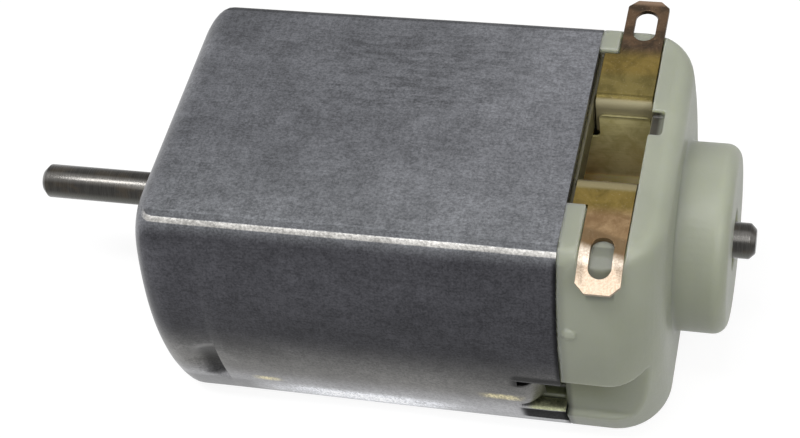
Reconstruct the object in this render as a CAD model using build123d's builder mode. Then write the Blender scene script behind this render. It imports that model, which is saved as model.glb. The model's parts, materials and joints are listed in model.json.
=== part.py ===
from build123d import *
from math import asin, cos, degrees, radians, sin, sqrt, tan
import os

# A small permanent-magnet direct-current motor with a flat-sided steel can.
# All sizes are in millimetres.  The origin is on the shaft axis, in the plane of
# the can's front face.  +X runs out along the output shaft, +Z is square to the
# flat that the terminals lie beside, and +Y completes the frame.  "Left" is +Y.

# ---------------------------------------------------------------- can
can_length = 23.2
can_half_width = 10.0
can_half_height = 7.6
flat_half_width = 8.2
can_wall = 0.7
arris_radius = 1.0
front_bend = 1.5
front_corner_radius = 3.5
smallest_corner = 0.1

# pressed dimples that the magnets stand against
dimple_height = -3.1
dimple_stop = 3.8
dimple_chord = 4.2
dimple_depth = 0.6
dimple_run = 1.9
dimple_skin = 0.55

# crimped tabs that hold the end bell
crimp_height = -3.1
crimp_tab_width = 2.2
crimp_slit = 0.5
crimp_slit_length = 2.4
crimp_root = 0.5
crimp_tab_length = 1.2
crimp_angle = 45.0
crimp_clearance = 0.15

# ---------------------------------------------------------------- shaft and bearings
shaft_radius = 1.0
shaft_reach = 9.5
shaft_stub = 1.15
shaft_chamfer = 0.3
relief_length = 0.6
relief_depth = 0.2
running_clearance = 0.03
bush_radius = 2.3
bush_length = 2.4
bush_chamfer = 0.2
collar_wall = 0.6
collar_length = 1.5
stake_groove_width = 0.35
stake_groove_depth = 0.15
stake_groove_gap = 0.5

# ---------------------------------------------------------------- end bell
bell_length = 5.3
bell_corner_radius = 3.0
bell_wall = 1.3
spigot_length = 2.2
spigot_clearance = 0.05
spigot_corner = 0.5
boss_radius = 5.25
boss_length = 2.85
boss_edge = 0.8
boss_face = 0.95
shaft_hole_radius = 1.7
chamber_half_width = 5.4
chamber_half_height = 5.4
chamber_corner = 1.5

# recess across the top flat, with a way out on each side for a terminal
recess_depth = 0.45
recess_length = 3.45
recess_left = 4.9
recess_right = 6.45
window_ledge = 0.25
notch_length = 0.75
notch_left = -0.35
notch_width = 1.75

# side pads and the rebate below them
pad_bottom = -1.2
pad_corner = 2.8
rebate_depth = 1.15
rebate_floor = -4.9
rebate_slope = 40.0
pip_radius = 0.3
pip_height = 0.15
pip_setback = 0.62
pip_level = 2.9

# ---------------------------------------------------------------- terminals and brushes
terminal_width = 2.3
terminal_thickness = 0.3
terminal_reach_left = 10.1
terminal_reach_right = 10.7
terminal_bend_radius = 0.4
terminal_leg_length = 2.45
terminal_clearance = 0.05
terminal_wide = 3.1
terminal_wide_gap = 0.1
tab_corner = 0.5
tab_slot_width = 1.2
tab_slot_length = 2.4
tab_slot_margin = 0.8
tab_lift_start = 7.9
tab_lift_left = -22.0
tab_lift_right = 0.0

arm_thickness = 0.15
arm_gap = 0.02
arm_setback = 0.1
arm_neck_width = 2.8
arm_blade_width = 4.7
arm_shoulder_drop = 0.3
arm_top_margin = 1.05
arm_tail = 0.7
arm_corner = 0.3
brush_thickness = 0.62
brush_width = 1.8
brush_height = 2.0
brush_gap = 0.03
brush_ring_clearance = 0.15

# ---------------------------------------------------------------- rotor
rotor_can_clearance = 0.7
plate_thickness = 0.5
plate_count = 24
shoe_thickness = 0.9
shoe_gap = 2.4
pole_width = 2.4
pole_length = 2.9
insulator_thickness = 0.5
insulator_inset = 0.3
insulator_hub_radius = 1.8
winding_overhang = 1.4
winding_thickness = 1.2
winding_clearance = 0.05
winding_root = 0.3
winding_shoe_gap = 0.1

commutator_radius = 1.9
segment_thickness = 0.3
segment_gap = 0.3
commutator_gap = 0.5
riser_width = 1.2
riser_reach = 1.1
riser_thickness = 0.5
commutator_tail = 0.5
retaining_ring_width = 0.5
retaining_ring_thickness = 0.3

washer_radius = 1.9
front_washer_thickness = 0.5
rear_washer_thickness = 0.9
end_play = 0.3

# ---------------------------------------------------------------- magnets
air_gap = 0.35
magnet_gap = 0.05
magnet_front_overhang = 2.15
magnet_rear_overhang = 0.85
magnet_half_angle = 50.0
spring_wire_radius = 0.4
spring_setback = 1.0
spring_bend = 1.0

# ================================================================ derived places
side_centre = (can_half_width**2 - flat_half_width**2 - can_half_height**2) / (
    2 * (can_half_width - flat_half_width)
)
side_radius = can_half_width - side_centre

can_rear = -can_length
can_inner_height = can_half_height - can_wall
bell_rear = can_rear - bell_length
boss_rear = bell_rear - boss_length
shaft_front = shaft_reach
shaft_rear = boss_rear - shaft_stub

bearing_bore = shaft_radius + running_clearance
front_bush_rear = -bush_length
rear_bush_rear = boss_rear + boss_face
rear_bush_front = rear_bush_rear + bush_length
chamber_rear = bell_rear + bell_wall

recess_floor = can_half_height - recess_depth
recess_rear = can_rear - recess_length
terminal_rear = recess_rear + terminal_clearance
terminal_middle = terminal_rear + terminal_width / 2
terminal_top = recess_floor + terminal_thickness

brush_inner = commutator_radius + brush_gap
brush_hollow = brush_inner - sqrt(brush_inner**2 - brush_height**2 / 4)
arm_inner = brush_inner + brush_thickness
arm_outer = arm_inner + arm_thickness
leg_inner = arm_outer + arm_gap
leg_outer = leg_inner + terminal_thickness
leg_bottom = terminal_top - terminal_leg_length
arm_rear = terminal_rear + arm_setback
arm_top = terminal_top - arm_top_margin
arm_shoulder = leg_bottom - arm_shoulder_drop
arm_bottom = -brush_height / 2 - arm_tail
window_half_length = leg_outer + terminal_bend_radius

magnet_front = -dimple_stop - magnet_gap
stack_front = magnet_front - magnet_front_overhang
stack_rear = stack_front - plate_count * plate_thickness
magnet_rear = stack_rear - magnet_rear_overhang
rotor_radius = can_inner_height - rotor_can_clearance
magnet_inner = rotor_radius + air_gap

insulator_front_face = stack_front + insulator_thickness
insulator_rear_face = stack_rear - insulator_thickness
winding_front = insulator_front_face + winding_overhang
winding_rear = insulator_rear_face - winding_overhang
shoe_inner = rotor_radius - shoe_thickness
hub_radius = shoe_inner - pole_length

washer_front_face = front_bush_rear - end_play
washer_rear_face = rear_bush_front + end_play
segment_inner = commutator_radius - segment_thickness
commutator_front = winding_rear - commutator_gap
commutator_rear = washer_rear_face + rear_washer_thickness
segment_rear = commutator_rear + commutator_tail
brush_rear = segment_rear + retaining_ring_width + brush_ring_clearance

pole_angles = [90, 210, 330]
sides = [1, -1]


def side_reach(height, inset=0.0):
    """Half width of the bulging side at a height, with the surface moved in by inset."""
    return side_centre + sqrt((side_radius - inset) ** 2 - height**2)


def can_outline(inset=0.0, corner=arris_radius):
    """Two flats joined by two bulging sides: the can's cross-section, moved in by inset."""
    flat = can_half_height - inset
    end = side_reach(flat, inset)
    bulge = can_half_width - inset
    with BuildSketch() as outline:
        with BuildLine():
            Line((-end, flat), (end, flat))
            ThreePointArc((end, flat), (bulge, 0), (end, -flat))
            Line((end, -flat), (-end, -flat))
            ThreePointArc((-end, -flat), (-bulge, 0), (-end, flat))
        make_face()
        if corner > 0:
            fillet(outline.vertices(), corner)
    return outline.sketch


def side_plane(side, height, station):
    """Plane on the can's outer side: local X to the front, local Z out of the surface."""
    tilt = asin(height / side_radius)
    outward = (0, side * cos(tilt), sin(tilt))
    return Plane(origin=(station, side * side_reach(height), height), x_dir=(1, 0, 0), z_dir=outward)


def tab_underside(side, lift):
    """Plane of a solder tab's lower face, with its origin at the tab's root.

    A tab that droops turns about its upper edge, and one that rises about its lower edge.
    """
    lean = radians(lift)
    upward = (0, -side * sin(lean), cos(lean))
    hinge = terminal_top if lift < 0 else recess_floor
    pivot = Plane(origin=(terminal_middle, side * tab_lift_start, hinge), x_dir=(1, 0, 0), z_dir=upward)
    return pivot.offset(recess_floor - hinge)


def ring_sector(inner, outer, middle, size):
    """Face between two radii, size degrees wide about the angle middle."""
    start = middle - size / 2
    with BuildSketch() as sector:
        with BuildLine():
            outside = CenterArc((0, 0), outer, start, size)
            inside = CenterArc((0, 0), inner, start, size)
            Line(outside @ 0, inside @ 0)
            Line(outside @ 1, inside @ 1)
        make_face()
    return sector.sketch


# ================================================================ can
bend_steps = [0, 8, 16, 25, 35, 45, 55, 65, 75, 83, 90]
with BuildPart() as can_envelope:
    with BuildSketch(Plane.YZ.offset(can_rear)):
        add(can_outline())
    extrude(amount=can_length - front_bend)
    for step in bend_steps:
        turned = 1 - cos(radians(step))
        station = -front_bend * (1 - sin(radians(step)))
        corner = arris_radius + (front_corner_radius - arris_radius) * turned
        with BuildSketch(Plane.YZ.offset(station)):
            add(can_outline(front_bend * turned, corner))
    loft()

inner_corner = max(arris_radius - can_wall, smallest_corner)
front_slope = front_bend - can_wall
with BuildPart() as can_cavity:
    with BuildSketch(Plane.YZ.offset(can_rear)):
        add(can_outline(can_wall, inner_corner))
    extrude(amount=can_length - front_bend)
    with BuildSketch(Plane.YZ.offset(-front_bend)):
        add(can_outline(can_wall, inner_corner))
    with BuildSketch(Plane.YZ.offset(-can_wall)):
        add(can_outline(can_wall + front_slope, inner_corner))
    loft(ruled=True)

# A dimple is part of a ball that ends at a flat face, where the magnet stands.
dimple_ring = (dimple_chord**2 / 4 + dimple_depth**2) / (2 * dimple_depth)
dimple_lift = dimple_ring - dimple_depth
dimple_offset = (dimple_ring**2 - dimple_lift**2 - dimple_run**2) / (2 * dimple_run)
dimple_ball = sqrt(dimple_ring**2 + dimple_offset**2)


def dimple_solid(extra):
    """Both dimple balls, grown by extra and cut off at the stop face."""
    ball = dimple_ball + extra
    tip = ball - dimple_offset
    edge = sqrt(ball**2 - dimple_offset**2)
    half_turn = radians(45)
    with BuildPart() as balls:
        for side in sides:
            seat = side_plane(side, dimple_height, -dimple_stop).offset(dimple_lift)
            with BuildSketch(seat):
                with BuildLine():
                    Line((0, 0), (tip, 0))
                    middle = (ball * cos(half_turn) - dimple_offset, ball * sin(half_turn))
                    ThreePointArc((tip, 0), middle, (0, edge))
                    Line((0, edge), (0, 0))
                make_face()
            revolve(axis=Axis(seat.origin, seat.x_dir))
    return balls.part


with BuildPart() as dimple_backs:
    add(dimple_solid(dimple_skin))
    add(can_envelope.part, mode=Mode.INTERSECT)

crimp_bend = crimp_slit_length - crimp_root
crimp_lean = radians(crimp_angle)
tab_run = crimp_tab_length * cos(crimp_lean)
tab_drop = crimp_tab_length * sin(crimp_lean)
tab_skin_run = can_wall * sin(crimp_lean)
tab_skin_drop = can_wall * cos(crimp_lean)
with BuildPart() as motor_can:
    add(can_envelope.part)
    add(can_cavity.part, mode=Mode.SUBTRACT)
    add(dimple_backs.part)
    add(dimple_solid(0.0), mode=Mode.SUBTRACT)
    # collar for the front bush, drawn inwards from the front wall
    with BuildSketch(Plane.YZ.offset(-can_wall)):
        Circle(bush_radius + collar_wall)
    extrude(amount=-collar_length)
    with BuildSketch(Plane.YZ):
        Circle(bush_radius)
    extrude(amount=-can_wall - collar_length, mode=Mode.SUBTRACT)
    # shallow groove left by staking the bush
    with BuildSketch(Plane.YZ):
        Circle(bush_radius + stake_groove_gap + stake_groove_width)
        Circle(bush_radius + stake_groove_gap, mode=Mode.SUBTRACT)
    extrude(amount=-stake_groove_depth, mode=Mode.SUBTRACT)
    for side in sides:
        wall_plane = side_plane(side, crimp_height, can_rear)
        # two slits free the tab, and the tab's own wall is taken out to be bent in
        with BuildSketch(wall_plane.offset(can_wall)):
            with GridLocations(0, crimp_tab_width + crimp_slit, 1, 2):
                Rectangle(crimp_slit_length, crimp_slit, align=(Align.MIN, Align.CENTER))
            Rectangle(crimp_bend, crimp_tab_width, align=(Align.MIN, Align.CENTER))
        extrude(amount=-3 * can_wall, mode=Mode.SUBTRACT)
        # the tab, leaning in towards the end bell
        along = Plane(origin=wall_plane.origin, x_dir=(1, 0, 0), z_dir=-wall_plane.y_dir)
        with BuildSketch(along):
            with BuildLine():
                Polyline(
                    (crimp_bend, 0),
                    (crimp_bend - tab_run, -tab_drop),
                    (crimp_bend - tab_run + tab_skin_run, -tab_drop - tab_skin_drop),
                    (crimp_bend + tab_skin_run, -tab_skin_drop),
                    close=True,
                )
            make_face()
        extrude(amount=crimp_tab_width / 2, both=True)
motor_can.part.label = "motor_can"

# ================================================================ bearings and shaft
with BuildPart() as front_bearing:
    with BuildSketch(Plane.YZ):
        Circle(bush_radius)
        Circle(bearing_bore, mode=Mode.SUBTRACT)
    extrude(amount=-bush_length)
    chamfer(front_bearing.edges().filter_by(GeomType.CIRCLE).group_by(SortBy.RADIUS)[-1], bush_chamfer)
front_bearing.part.label = "front_bearing"

with BuildPart() as rear_bearing:
    with BuildSketch(Plane.YZ.offset(rear_bush_front)):
        Circle(bush_radius)
        Circle(bearing_bore, mode=Mode.SUBTRACT)
    extrude(amount=-bush_length)
    chamfer(rear_bearing.edges().filter_by(GeomType.CIRCLE).group_by(SortBy.RADIUS)[-1], bush_chamfer)
rear_bearing.part.label = "rear_bearing"

with BuildPart() as shaft:
    with BuildSketch(Plane.YZ.offset(shaft_rear)):
        Circle(shaft_radius)
    extrude(amount=shaft_front - shaft_rear)
    chamfer(shaft.edges().filter_by(GeomType.CIRCLE), shaft_chamfer)
    # relief groove just inside the front bush
    with BuildSketch(Plane.YZ):
        Circle(2 * shaft_radius)
        Circle(shaft_radius - relief_depth, mode=Mode.SUBTRACT)
    extrude(amount=-relief_length, mode=Mode.SUBTRACT)
shaft.part.label = "shaft"

# ================================================================ end bell
with BuildPart() as bell_block:
    with BuildSketch(Plane.YZ.offset(can_rear)):
        add(can_outline(corner=0))
    extrude(amount=-bell_length)
    rear_edges = bell_block.faces().sort_by(Axis.X)[0].edges()
    fillet(rear_edges.filter_by(Axis.Y, reverse=True), bell_corner_radius)
    flats = bell_block.faces().filter_by(Axis.Z)
    rim = flats.edges().filter_by(lambda edge: edge.center().X < can_rear - smallest_corner)
    fillet(rim, arris_radius)

# what the rebate takes off each side, below the pad
with BuildPart() as rebate:
    with BuildSketch(Plane.XZ):
        with BuildLine():
            rear_limit = bell_rear - bell_length
            low_limit = -2 * can_half_height
            pad_turn = bell_rear + pad_corner
            pad_back = pad_bottom + pad_corner
            Line((can_rear, pad_bottom), (pad_turn, pad_bottom))
            RadiusArc((pad_turn, pad_bottom), (bell_rear, pad_back), pad_corner)
            Polyline(
                (bell_rear, pad_back),
                (rear_limit, pad_back),
                (rear_limit, low_limit),
                (can_rear, low_limit),
                (can_rear, pad_bottom),
            )
        make_face()
    extrude(amount=2 * can_half_width, both=True)
    with BuildSketch(Plane.YZ.offset(can_rear)):
        inner_face = can_half_width - rebate_depth
        fall = can_half_width * tan(radians(rebate_slope))
        Rectangle(2 * inner_face, 4 * can_half_height)
        for side in sides:
            with BuildLine():
                Polyline(
                    (side * inner_face, rebate_floor),
                    (side * (inner_face + can_half_width), rebate_floor - fall),
                    (side * (inner_face + can_half_width), 4 * rebate_floor),
                    (side * inner_face, 4 * rebate_floor),
                    close=True,
                )
            make_face()
    extrude(amount=-2 * bell_length, mode=Mode.SUBTRACT)

with BuildPart() as end_bell:
    add(bell_block.part)
    add(rebate.part, mode=Mode.SUBTRACT)
    # spigot inside the can
    with BuildSketch(Plane.YZ.offset(can_rear)):
        add(can_outline(can_wall + spigot_clearance, spigot_corner))
    extrude(amount=spigot_length)
    # rear boss with the seat of the rear bush
    with BuildSketch(Plane.YZ.offset(bell_rear + bell_wall / 2)):
        Circle(boss_radius)
    extrude(amount=-boss_length - bell_wall / 2)
    fillet(end_bell.edges().filter_by(GeomType.CIRCLE).sort_by(Axis.X)[0], boss_edge)
    # chamber for the commutator and the brushes
    with BuildSketch(Plane.YZ.offset(can_rear + spigot_length)):
        RectangleRounded(2 * chamber_half_width, 2 * chamber_half_height, chamber_corner)
    extrude(amount=-(can_rear + spigot_length - chamber_rear), mode=Mode.SUBTRACT)
    with BuildSketch(Plane.YZ.offset(chamber_rear)):
        Circle(bush_radius)
    extrude(amount=-(chamber_rear - rear_bush_rear), mode=Mode.SUBTRACT)
    with BuildSketch(Plane.YZ.offset(rear_bush_rear)):
        Circle(shaft_hole_radius)
    extrude(amount=-boss_face, mode=Mode.SUBTRACT)
    # recess in the top flat, its side ways out and the notch in its rear wall
    with BuildSketch(Plane.XY.offset(recess_floor)):
        with Locations((can_rear, recess_left)):
            Rectangle(
                recess_length,
                recess_left + recess_right,
                align=(Align.MAX, Align.MAX),
            )
        with Locations((recess_rear, 0)):
            Rectangle(
                terminal_width + 2 * terminal_clearance,
                4 * can_half_width,
                align=(Align.MIN, Align.CENTER),
            )
        with Locations((recess_rear, notch_left)):
            Rectangle(notch_length, notch_width, align=(Align.MAX, Align.MAX))
    extrude(amount=2 * recess_depth, mode=Mode.SUBTRACT)
    # room for a tab that droops over the edge of the flat
    for side, lift in [(1, tab_lift_left), (-1, tab_lift_right)]:
        with BuildSketch(tab_underside(side, lift)):
            with Locations((recess_rear - terminal_middle, 0)):
                Rectangle(
                    terminal_width + 2 * terminal_clearance,
                    can_half_width,
                    align=(Align.MIN, Align.MIN if side > 0 else Align.MAX),
                )
        extrude(amount=2 * recess_depth, mode=Mode.SUBTRACT)
    # window through the recess floor, where the brush arms go down
    with BuildSketch(Plane.XY.offset(chamber_half_height - recess_depth)):
        with Locations((recess_rear, 0)):
            Rectangle(
                recess_length - window_ledge,
                2 * window_half_length,
                align=(Align.MIN, Align.CENTER),
            )
    extrude(amount=can_half_height, mode=Mode.SUBTRACT)
    for side in sides:
        # pocket that the crimped tab leans into
        with BuildSketch(side_plane(side, crimp_height, can_rear)):
            Rectangle(
                spigot_length,
                crimp_tab_width + 2 * crimp_clearance,
                align=(Align.MIN, Align.CENTER),
            )
        extrude(amount=-tab_drop - tab_skin_drop - crimp_clearance, mode=Mode.SUBTRACT)
        # small moulded pip beside the can
        pip_plane = side_plane(side, pip_level, can_rear - pip_setback)
        with BuildSketch(pip_plane.offset(-pip_height)):
            Circle(pip_radius)
        extrude(amount=2 * pip_height)
end_bell.part.label = "end_bell"

# ================================================================ magnets and their spring
edge_rise = can_half_width * tan(radians(magnet_half_angle))


def magnet(side):
    """One curved ferrite magnet that fills the space between the rotor and the can's side."""
    with BuildPart() as segment:
        with BuildSketch(Plane.YZ.offset(magnet_rear)):
            with BuildLine():
                Polyline(
                    (0, 0),
                    (side * can_half_width, edge_rise),
                    (side * can_half_width, -edge_rise),
                    close=True,
                )
            make_face()
            add(can_outline(can_wall, inner_corner), mode=Mode.INTERSECT)
            Circle(magnet_inner, mode=Mode.SUBTRACT)
        extrude(amount=magnet_front - magnet_rear)
    return segment.part


magnet_left = magnet(1)
magnet_left.label = "magnet_left"
magnet_right = magnet(-1)
magnet_right.label = "magnet_right"

# the spring's legs lie on the can's lower flat, each against the edge of a magnet
spring_level = spring_wire_radius - can_inner_height
edge_angle = radians(magnet_half_angle)
spring_half_width = -spring_level / tan(edge_angle) - spring_wire_radius / sin(edge_angle)
spring_front = magnet_front - spring_setback
spring_rear = magnet_rear + spring_setback
with BuildPart() as magnet_spring:
    with BuildLine(Plane.XY.offset(spring_level)) as spring_line:
        FilletPolyline(
            (spring_rear, spring_half_width),
            (spring_front, spring_half_width),
            (spring_front, -spring_half_width),
            (spring_rear, -spring_half_width),
            radius=spring_bend + spring_wire_radius,
        )
    with BuildSketch(Plane(origin=spring_line.line @ 0, z_dir=spring_line.line % 0)):
        Circle(spring_wire_radius)
    sweep()
magnet_spring.part.label = "magnet_spring"

# ================================================================ rotor
def stack_outline(outer, shoe_inner_radius, bore):
    """Three poles with wide shoes round a hub."""
    Circle(outer)
    Circle(shoe_inner_radius, mode=Mode.SUBTRACT)
    with PolarLocations((outer + shoe_inner_radius) / 2, 3, start_angle=pole_angles[0] + 60):
        Rectangle(2 * (outer - shoe_inner_radius), shoe_gap, mode=Mode.SUBTRACT)
    Circle(hub_radius)
    with PolarLocations(shoe_inner_radius / 2, 3, start_angle=pole_angles[0]):
        Rectangle(shoe_inner_radius + (outer - shoe_inner_radius) / 2, pole_width)
    Circle(bore, mode=Mode.SUBTRACT)


with BuildPart() as lamination_stack:
    with BuildSketch(Plane.YZ.offset(stack_front)):
        stack_outline(rotor_radius, shoe_inner, shaft_radius)
    extrude(amount=stack_rear - stack_front)
lamination_stack.part.label = "lamination_stack"

with BuildPart() as insulator_front:
    with BuildSketch(Plane.YZ.offset(stack_front)):
        stack_outline(rotor_radius - insulator_inset, shoe_inner, shaft_radius)
    extrude(amount=insulator_thickness)
    with BuildSketch(Plane.YZ.offset(insulator_front_face)):
        Circle(insulator_hub_radius)
        Circle(shaft_radius, mode=Mode.SUBTRACT)
    extrude(amount=washer_front_face - front_washer_thickness - insulator_front_face)
insulator_front.part.label = "insulator_front"

with BuildPart() as insulator_rear:
    with BuildSketch(Plane.YZ.offset(stack_rear)):
        stack_outline(rotor_radius - insulator_inset, shoe_inner, shaft_radius)
    extrude(amount=-insulator_thickness)
    with BuildSketch(Plane.YZ.offset(insulator_rear_face)):
        Circle(insulator_hub_radius)
        Circle(shaft_radius, mode=Mode.SUBTRACT)
    extrude(amount=commutator_front - insulator_rear_face)
insulator_rear.part.label = "insulator_rear"

winding_bottom = hub_radius + winding_root
winding_half_width = pole_width / 2 + winding_clearance + winding_thickness
winding_top = sqrt((shoe_inner - winding_shoe_gap) ** 2 - winding_half_width**2)
winding_middle = (winding_front + winding_rear) / 2
core_length = insulator_front_face - insulator_rear_face


def winding(angle):
    """The copper coil wound round one pole."""
    outward = (0, cos(radians(angle)), sin(radians(angle)))
    seat = Plane(origin=(winding_middle, 0, 0), x_dir=(1, 0, 0), z_dir=outward)
    with BuildPart() as coil:
        with BuildSketch(seat.offset(winding_bottom)):
            RectangleRounded(winding_front - winding_rear, 2 * winding_half_width, winding_thickness)
            Rectangle(core_length, pole_width + 2 * winding_clearance, mode=Mode.SUBTRACT)
        extrude(amount=winding_top - winding_bottom)
    return coil.part


segment_size = 120 - degrees(segment_gap / commutator_radius)


def commutator_segment(angle):
    """One copper segment with the riser that its coil is joined to."""
    with BuildPart() as segment:
        with BuildSketch(Plane.YZ.offset(commutator_front)):
            add(ring_sector(segment_inner, commutator_radius, angle, segment_size))
        extrude(amount=segment_rear - commutator_front)
        with BuildSketch(Plane.YZ.offset(commutator_front)):
            with PolarLocations(commutator_radius - segment_thickness / 2, 1, start_angle=angle):
                Rectangle(
                    riser_reach + segment_thickness / 2,
                    riser_width,
                    align=(Align.MIN, Align.CENTER),
                )
        extrude(amount=-riser_thickness)
    return segment.part


with BuildPart() as commutator_core:
    with BuildSketch(Plane.YZ.offset(commutator_front)):
        Circle(segment_inner)
        Circle(shaft_radius, mode=Mode.SUBTRACT)
    extrude(amount=commutator_rear - commutator_front)
commutator_core.part.label = "commutator_core"

with BuildPart() as commutator_ring:
    with BuildSketch(Plane.YZ.offset(segment_rear)):
        Circle(commutator_radius + retaining_ring_thickness)
        Circle(commutator_radius, mode=Mode.SUBTRACT)
    extrude(amount=retaining_ring_width)
commutator_ring.part.label = "commutator_ring"

with BuildPart() as front_washer:
    with BuildSketch(Plane.YZ.offset(washer_front_face)):
        Circle(washer_radius)
        Circle(shaft_radius, mode=Mode.SUBTRACT)
    extrude(amount=-front_washer_thickness)
front_washer.part.label = "front_washer"

with BuildPart() as rear_washer:
    with BuildSketch(Plane.YZ.offset(washer_rear_face)):
        Circle(washer_radius)
        Circle(shaft_radius, mode=Mode.SUBTRACT)
    extrude(amount=rear_washer_thickness)
rear_washer.part.label = "rear_washer"

# ================================================================ terminals, arms and brushes
def terminal(side, reach, lift, recess_end):
    """Copper strip in the recess: a solder tab outside, a leg down into the chamber."""
    tip = reach - tab_lift_start
    with BuildPart() as strip:
        # flat part and leg, bent down to the chamber
        with BuildSketch(Plane.YZ.offset(terminal_rear)) as profile:
            with BuildLine():
                Polyline(
                    (side * tab_lift_start, terminal_top),
                    (side * leg_inner, terminal_top),
                    (side * leg_inner, leg_bottom),
                    (side * leg_outer, leg_bottom),
                    (side * leg_outer, recess_floor),
                    (side * tab_lift_start, recess_floor),
                    close=True,
                )
            make_face()
            bend_outside = profile.vertices().sort_by_distance((side * leg_inner, terminal_top))[0]
            fillet(bend_outside, terminal_bend_radius + terminal_thickness)
            bend_inside = profile.vertices().sort_by_distance((side * leg_outer, recess_floor))[0]
            fillet(bend_inside, terminal_bend_radius)
        extrude(amount=terminal_wide)
        # narrow strip outside the wide foot
        with BuildSketch(Plane.XY.offset(recess_floor - terminal_thickness)):
            with Locations((terminal_rear + terminal_width, side * (recess_end - terminal_wide_gap))):
                Rectangle(
                    2 * terminal_wide,
                    reach,
                    align=(Align.MIN, Align.MIN if side > 0 else Align.MAX),
                )
        extrude(amount=3 * terminal_thickness, mode=Mode.SUBTRACT)
        # solder tab, which may be bent up or down about its root
        bent = tab_underside(side, lift)
        with BuildSketch(bent):
            with Locations((0, side * tip / 2)):
                tab = Rectangle(terminal_width, tip)
            chamfer(tab.vertices().group_by(Axis.Y)[-1 if side > 0 else 0], tab_corner)
        extrude(amount=terminal_thickness)
        # eye that crosses the bend, so it is cut square to both sides of it
        for face in (bent, tab_underside(side, 0.0)):
            with BuildSketch(face):
                with Locations((0, side * (tip - tab_slot_margin - tab_slot_length / 2))):
                    SlotOverall(tab_slot_length, tab_slot_width, rotation=90)
            extrude(amount=terminal_thickness, mode=Mode.SUBTRACT)
    return strip.part


def brush_arm(side):
    """Springy leaf beside the commutator: a neck on the terminal's leg and a wider blade."""
    neck_front = arm_rear + arm_neck_width
    blade_front = arm_rear + arm_blade_width
    with BuildPart() as leaf:
        with BuildSketch(Plane.XZ.offset(-side * arm_inner)) as leaf_outline:
            with BuildLine():
                Polyline(
                    (arm_rear, arm_bottom),
                    (blade_front, arm_bottom),
                    (blade_front, arm_shoulder),
                    (neck_front, arm_shoulder),
                    (neck_front, arm_top),
                    (arm_rear, arm_top),
                    close=True,
                )
            make_face()
            fillet(leaf_outline.vertices(), arm_corner)
        extrude(amount=-side * arm_thickness)
    return leaf.part


def carbon_brush(side):
    """Carbon block on the arm, hollowed to the commutator."""
    with BuildPart() as block:
        with BuildSketch(Plane.YZ.offset(brush_rear)):
            with Locations((side * arm_inner, 0)):
                Rectangle(
                    brush_thickness + brush_hollow,
                    brush_height,
                    align=(Align.MAX if side > 0 else Align.MIN, Align.CENTER),
                )
            Circle(brush_inner, mode=Mode.SUBTRACT)
        extrude(amount=brush_width)
    return block.part


pieces = {
    "motor_can": motor_can.part,
    "end_bell": end_bell.part,
    "front_bearing": front_bearing.part,
    "rear_bearing": rear_bearing.part,
    "magnet_left": magnet_left,
    "magnet_right": magnet_right,
    "magnet_spring": magnet_spring.part,
    "terminal_left": terminal(1, terminal_reach_left, tab_lift_left, recess_left),
    "terminal_right": terminal(-1, terminal_reach_right, tab_lift_right, recess_right),
    "brush_arm_left": brush_arm(1),
    "brush_arm_right": brush_arm(-1),
    "carbon_brush_left": carbon_brush(1),
    "carbon_brush_right": carbon_brush(-1),
    "shaft": shaft.part,
    "lamination_stack": lamination_stack.part,
    "insulator_front": insulator_front.part,
    "insulator_rear": insulator_rear.part,
    "commutator_core": commutator_core.part,
    "commutator_ring": commutator_ring.part,
    "front_washer": front_washer.part,
    "rear_washer": rear_washer.part,
}
for letter, angle in zip("abc", pole_angles):
    pieces["coil_" + letter] = winding(angle)
    pieces["commutator_segment_" + letter] = commutator_segment(angle + 60)

os.makedirs("parts", exist_ok=True)
for name, piece in pieces.items():
    piece.label = name
    export_step(piece, "parts/" + name + ".step")
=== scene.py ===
import json
from functools import cached_property
from math import asin, atan2, cos, hypot, pi, radians, sin, sqrt, tau

import bmesh
import bpy
from mathutils import Matrix, Quaternion, Vector, noise

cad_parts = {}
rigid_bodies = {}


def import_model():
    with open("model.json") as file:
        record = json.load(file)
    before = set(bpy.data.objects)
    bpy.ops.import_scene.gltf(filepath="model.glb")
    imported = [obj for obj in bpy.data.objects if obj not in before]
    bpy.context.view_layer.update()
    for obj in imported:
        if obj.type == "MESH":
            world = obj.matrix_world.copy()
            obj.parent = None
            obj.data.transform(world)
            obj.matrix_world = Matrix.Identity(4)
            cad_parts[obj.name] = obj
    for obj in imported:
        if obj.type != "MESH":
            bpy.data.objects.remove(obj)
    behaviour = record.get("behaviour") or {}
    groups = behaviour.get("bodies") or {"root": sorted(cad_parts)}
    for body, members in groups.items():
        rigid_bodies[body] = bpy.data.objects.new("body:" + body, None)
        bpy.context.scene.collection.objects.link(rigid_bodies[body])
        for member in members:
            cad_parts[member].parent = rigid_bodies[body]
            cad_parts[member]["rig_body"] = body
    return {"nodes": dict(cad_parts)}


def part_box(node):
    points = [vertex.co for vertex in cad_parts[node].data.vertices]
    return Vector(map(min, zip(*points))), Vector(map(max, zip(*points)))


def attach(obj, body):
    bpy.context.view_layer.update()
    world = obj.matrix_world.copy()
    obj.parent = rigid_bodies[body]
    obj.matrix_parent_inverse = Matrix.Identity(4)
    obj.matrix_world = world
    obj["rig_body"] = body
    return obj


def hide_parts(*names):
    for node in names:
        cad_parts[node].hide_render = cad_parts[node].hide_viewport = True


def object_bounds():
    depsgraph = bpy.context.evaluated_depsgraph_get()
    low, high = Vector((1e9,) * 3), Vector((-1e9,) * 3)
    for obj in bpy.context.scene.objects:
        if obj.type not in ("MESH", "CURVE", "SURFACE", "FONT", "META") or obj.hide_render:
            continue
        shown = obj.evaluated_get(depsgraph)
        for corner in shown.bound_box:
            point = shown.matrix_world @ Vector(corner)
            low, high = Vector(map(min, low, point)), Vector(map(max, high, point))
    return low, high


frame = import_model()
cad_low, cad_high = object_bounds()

# The looks of a small permanent-magnet motor.  Lengths are written in millimetres, as in
# the CAD source, and each mesh is scaled to metres when it becomes a piece.
MM = 0.001

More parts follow.
